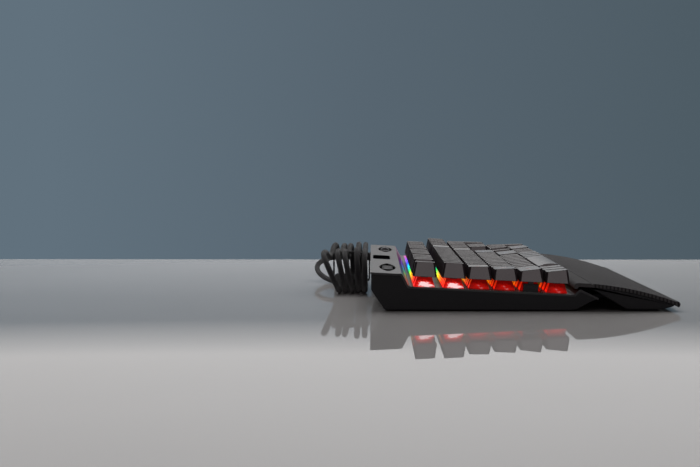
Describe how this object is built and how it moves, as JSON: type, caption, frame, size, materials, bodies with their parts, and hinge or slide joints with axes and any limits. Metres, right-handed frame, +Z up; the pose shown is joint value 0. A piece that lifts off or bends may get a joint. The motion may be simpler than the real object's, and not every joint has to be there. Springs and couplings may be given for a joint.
{
  "type": "gaming keyboard",
  "caption": "Full-size wired gaming keyboard with sculpted raised keys on a brushed metal deck, a detachable textured palm rest, media controls and a hanked braided cable.",
  "frame": {"origin": "centre of the footprint of keyboard and palm rest, at the underside of the rubber feet", "axes": "+X along the length from the user's left to their right, +Y from the palm rest to the rear, +Z up"},
  "size_m": [0.438, 0.2787, 0.0386],
  "materials": {
    "case_plastic": "fine-grained satin",
    "brushed_plate": "brushed and anodised, satin",
    "board": "solder mask",
    "switch_plastic": "clear, lit from the board",
    "stabiliser_plastic": "satin",
    "screw_steel": "zinc plated",
    "foot_rubber": "matt",
    "panel_plastic": "glossy",
    "window_plastic": "smoked, glossy",
    "button_plastic": "satin",
    "media_plastic": "satin",
    "roller_metal": "knurled, satin",
    "keycap_plastic": "fine satin",
    "gland_rubber": "matt",
    "cable_braid": "woven sleeve",
    "tie_fabric": "hook-and-loop",
    "plug_plastic": "satin",
    "plug_steel": "plated steel",
    "rest_skin": "soft touch, fine dimples",
    "rest_base": "fine-grained satin"
  },
  "bodies": {
    "keyboard": {"bottom_case": "case_plastic", "top_plate": "brushed_plate", "circuit_board": "board", "switch_housings": "switch_plastic", "stabiliser_housings": "stabiliser_plastic", "case_screws": "screw_steel", "case_feet": "foot_rubber", "control_panel_left": "panel_plastic", "control_panel_right": "panel_plastic", "indicator_window": "window_plastic", "cable_gland": "gland_rubber", "cable_lead": "cable_braid", "cable_hank": "cable_braid", "cable_tail": "cable_braid", "cable_tie": "tie_fabric", "plug_body": "plug_plastic", "plug_shell": "plug_steel"},
    "palm_rest": {"palm_rest_skin": "rest_skin", "palm_rest_base": "rest_base", "palm_rest_pads": "foot_rubber", "palm_rest_hooks": "rest_base"},
    "tilt_foot_left": {"tilt_foot_left": "case_plastic"},
    "tilt_foot_right": {"tilt_foot_right": "case_plastic"},
    "volume_roller": {"volume_roller": "roller_metal"},
    "profile_button": {"profile_button": "button_plastic"},
    "brightness_button": {"brightness_button": "button_plastic"},
    "lock_button": {"lock_button": "button_plastic"},
    "mute_button": {"mute_button": "button_plastic"},
    "media_stop": {"media_stop": "media_plastic"},
    "media_previous": {"media_previous": "media_plastic"},
    "media_play": {"media_play": "media_plastic"},
    "media_next": {"media_next": "media_plastic"},
    "key_escape": {"key_escape": "keycap_plastic"},
    "key_grave": {"key_grave": "keycap_plastic"},
    "key_backspace": {"key_backspace": "keycap_plastic"},
    "key_tab": {"key_tab": "keycap_plastic"},
    "key_w": {"key_w": "keycap_plastic"},
    "key_caps_lock": {"key_caps_lock": "keycap_plastic"},
    "key_a": {"key_a": "keycap_plastic"},
    "key_s": {"key_s": "keycap_plastic"},
    "key_d": {"key_d": "keycap_plastic"},
    "key_enter": {"key_enter": "keycap_plastic"},
    "key_left_shift": {"key_left_shift": "keycap_plastic"},
    "key_right_shift": {"key_right_shift": "keycap_plastic"},
    "key_up": {"key_up": "keycap_plastic"},
    "key_left_control": {"key_left_control": "keycap_plastic"},
    "key_space": {"key_space": "keycap_plastic"},
    "key_left": {"key_left": "keycap_plastic"},
    "key_down": {"key_down": "keycap_plastic"},
    "key_right": {"key_right": "keycap_plastic"},
    "key_pad_plus": {"key_pad_plus": "keycap_plastic"},
    "key_pad_enter": {"key_pad_enter": "keycap_plastic"},
    "keys_function": {"keys_function": "keycap_plastic"},
    "keys_number": {"keys_number": "keycap_plastic"},
    "keys_upper": {"keys_upper": "keycap_plastic"},
    "keys_home": {"keys_home": "keycap_plastic"},
    "keys_lower": {"keys_lower": "keycap_plastic"},
    "keys_modifier": {"keys_modifier": "keycap_plastic"},
    "keys_navigation": {"keys_navigation": "keycap_plastic"},
    "keys_pad": {"keys_pad": "keycap_plastic"}
  },
  "joints": [
    {"name": "palm_rest_pull", "type": "slide", "parent": "keyboard", "child": "palm_rest", "axis": [0, -1, 0], "range_m": [0, 0.04]},
    {"name": "tilt_foot_left_fold", "type": "hinge", "parent": "keyboard", "child": "tilt_foot_left", "pos_m": [-0.099, 0.0961, 0.0041], "axis": [1, 0, 0], "range_deg": [0, 80]},
    {"name": "tilt_foot_right_fold", "type": "hinge", "parent": "keyboard", "child": "tilt_foot_right", "pos_m": [0.099, 0.0961, 0.0041], "axis": [1, 0, 0], "range_deg": [0, 80]},
    {"name": "volume_turn", "type": "hinge", "parent": "keyboard", "child": "volume_roller", "pos_m": [0.152, 0.10051, 0.02476], "axis": [1, 0, 0], "continuous": true},
    {"name": "profile_button_press", "type": "slide", "parent": "keyboard", "child": "profile_button", "axis": [0, 0.0489, -0.9988], "range_m": [0, 0.0008], "stiffness_N_per_m": 300, "springref_m": -0.0006},
    {"name": "brightness_button_press", "type": "slide", "parent": "keyboard", "child": "brightness_button", "axis": [0, 0.0489, -0.9988], "range_m": [0, 0.0008], "stiffness_N_per_m": 300, "springref_m": -0.0006},
    {"name": "lock_button_press", "type": "slide", "parent": "keyboard", "child": "lock_button", "axis": [0, 0.0489, -0.9988], "range_m": [0, 0.0008], "stiffness_N_per_m": 300, "springref_m": -0.0006},
    {"name": "mute_button_press", "type": "slide", "parent": "keyboard", "child": "mute_button", "axis": [0, 0.0489, -0.9988], "range_m": [0, 0.0008], "stiffness_N_per_m": 300, "springref_m": -0.0006},
    {"name": "media_stop_press", "type": "slide", "parent": "keyboard", "child": "media_stop", "axis": [0, 0.0489, -0.9988], "range_m": [0, 0.002], "stiffness_N_per_m": 200, "springref_m": -0.001},
    {"name": "media_previous_press", "type": "slide", "parent": "keyboard", "child": "media_previous", "axis": [0, 0.0489, -0.9988], "range_m": [0, 0.002], "stiffness_N_per_m": 200, "springref_m": -0.001},
    {"name": "media_play_press", "type": "slide", "parent": "keyboard", "child": "media_play", "axis": [0, 0.0489, -0.9988], "range_m": [0, 0.002], "stiffness_N_per_m": 200, "springref_m": -0.001},
    {"name": "media_next_press", "type": "slide", "parent": "keyboard", "child": "media_next", "axis": [0, 0.0489, -0.9988], "range_m": [0, 0.002], "stiffness_N_per_m": 200, "springref_m": -0.001},
    {"name": "key_escape_press", "type": "slide", "parent": "keyboard", "child": "key_escape", "axis": [0, 0.0489, -0.9988], "range_m": [0, 0.004], "stiffness_N_per_m": 100, "springref_m": -0.002},
    {"name": "key_grave_press", "type": "slide", "parent": "keyboard", "child": "key_grave", "axis": [0, 0.0489, -0.9988], "range_m": [0, 0.004], "stiffness_N_per_m": 100, "springref_m": -0.002},
    {"name": "key_backspace_press", "type": "slide", "parent": "keyboard", "child": "key_backspace", "axis": [0, 0.0489, -0.9988], "range_m": [0, 0.004], "stiffness_N_per_m": 100, "springref_m": -0.002},
    {"name": "key_tab_press", "type": "slide", "parent": "keyboard", "child": "key_tab", "axis": [0, 0.0489, -0.9988], "range_m": [0, 0.004], "stiffness_N_per_m": 100, "springref_m": -0.002},
    {"name": "key_w_press", "type": "slide", "parent": "keyboard", "child": "key_w", "axis": [0, 0.0489, -0.9988], "range_m": [0, 0.004], "stiffness_N_per_m": 100, "springref_m": -0.002},
    {"name": "key_caps_lock_press", "type": "slide", "parent": "keyboard", "child": "key_caps_lock", "axis": [0, 0.0489, -0.9988], "range_m": [0, 0.004], "stiffness_N_per_m": 100, "springref_m": -0.002},
    {"name": "key_a_press", "type": "slide", "parent": "keyboard", "child": "key_a", "axis": [0, 0.0489, -0.9988], "range_m": [0, 0.004], "stiffness_N_per_m": 100, "springref_m": -0.002},
    {"name": "key_s_press", "type": "slide", "parent": "keyboard", "child": "key_s", "axis": [0, 0.0489, -0.9988], "range_m": [0, 0.004], "stiffness_N_per_m": 100, "springref_m": -0.002},
    {"name": "key_d_press", "type": "slide", "parent": "keyboard", "child": "key_d", "axis": [0, 0.0489, -0.9988], "range_m": [0, 0.004], "stiffness_N_per_m": 100, "springref_m": -0.002},
    {"name": "key_enter_press", "type": "slide", "parent": "keyboard", "child": "key_enter", "axis": [0, 0.0489, -0.9988], "range_m": [0, 0.004], "stiffness_N_per_m": 100, "springref_m": -0.002},
    {"name": "key_left_shift_press", "type": "slide", "parent": "keyboard", "child": "key_left_shift", "axis": [0, 0.0489, -0.9988], "range_m": [0, 0.004], "stiffness_N_per_m": 100, "springref_m": -0.002},
    {"name": "key_right_shift_press", "type": "slide", "parent": "keyboard", "child": "key_right_shift", "axis": [0, 0.0489, -0.9988], "range_m": [0, 0.004], "stiffness_N_per_m": 100, "springref_m": -0.002},
    {"name": "key_up_press", "type": "slide", "parent": "keyboard", "child": "key_up", "axis": [0, 0.0489, -0.9988], "range_m": [0, 0.004], "stiffness_N_per_m": 100, "springref_m": -0.002},
    {"name": "key_left_control_press", "type": "slide", "parent": "keyboard", "child": "key_left_control", "axis": [0, 0.0489, -0.9988], "range_m": [0, 0.004], "stiffness_N_per_m": 100, "springref_m": -0.002},
    {"name": "key_space_press", "type": "slide", "parent": "keyboard", "child": "key_space", "axis": [0, 0.0489, -0.9988], "range_m": [0, 0.004], "stiffness_N_per_m": 150, "springref_m": -0.002},
    {"name": "key_left_press", "type": "slide", "parent": "keyboard", "child": "key_left", "axis": [0, 0.0489, -0.9988], "range_m": [0, 0.004], "stiffness_N_per_m": 100, "springref_m": -0.002},
    {"name": "key_down_press", "type": "slide", "parent": "keyboard", "child": "key_down", "axis": [0, 0.0489, -0.9988], "range_m": [0, 0.004], "stiffness_N_per_m": 100, "springref_m": -0.002},
    {"name": "key_right_press", "type": "slide", "parent": "keyboard", "child": "key_right", "axis": [0, 0.0489, -0.9988], "range_m": [0, 0.004], "stiffness_N_per_m": 100, "springref_m": -0.002},
    {"name": "key_pad_plus_press", "type": "slide", "parent": "keyboard", "child": "key_pad_plus", "axis": [0, 0.0489, -0.9988], "range_m": [0, 0.004], "stiffness_N_per_m": 100, "springref_m": -0.002},
    {"name": "key_pad_enter_press", "type": "slide", "parent": "keyboard", "child": "key_pad_enter", "axis": [0, 0.0489, -0.9988], "range_m": [0, 0.004], "stiffness_N_per_m": 100, "springref_m": -0.002},
    {"name": "keys_function_press", "type": "slide", "parent": "keyboard", "child": "keys_function", "axis": [0, 0.0489, -0.9988], "range_m": [0, 0.004], "stiffness_N_per_m": 1200, "springref_m": -0.002},
    {"name": "keys_number_press", "type": "slide", "parent": "keyboard", "child": "keys_number", "axis": [0, 0.0489, -0.9988], "range_m": [0, 0.004], "stiffness_N_per_m": 1200, "springref_m": -0.002},
    {"name": "keys_upper_press", "type": "slide", "parent": "keyboard", "child": "keys_upper", "axis": [0, 0.0489, -0.9988], "range_m": [0, 0.004], "stiffness_N_per_m": 1200, "springref_m": -0.002},
    {"name": "keys_home_press", "type": "slide", "parent": "keyboard", "child": "keys_home", "axis": [0, 0.0489, -0.9988], "range_m": [0, 0.004], "stiffness_N_per_m": 800, "springref_m": -0.002},
    {"name": "keys_lower_press", "type": "slide", "parent": "keyboard", "child": "keys_lower", "axis": [0, 0.0489, -0.9988], "range_m": [0, 0.004], "stiffness_N_per_m": 1000, "springref_m": -0.002},
    {"name": "keys_modifier_press", "type": "slide", "parent": "keyboard", "child": "keys_modifier", "axis": [0, 0.0489, -0.9988], "range_m": [0, 0.004], "stiffness_N_per_m": 600, "springref_m": -0.002},
    {"name": "keys_navigation_press", "type": "slide", "parent": "keyboard", "child": "keys_navigation", "axis": [0, 0.0489, -0.9988], "range_m": [0, 0.004], "stiffness_N_per_m": 900, "springref_m": -0.002},
    {"name": "keys_pad_press", "type": "slide", "parent": "keyboard", "child": "keys_pad", "axis": [0, 0.0489, -0.9988], "range_m": [0, 0.004], "stiffness_N_per_m": 1500, "springref_m": -0.002}
  ]
}
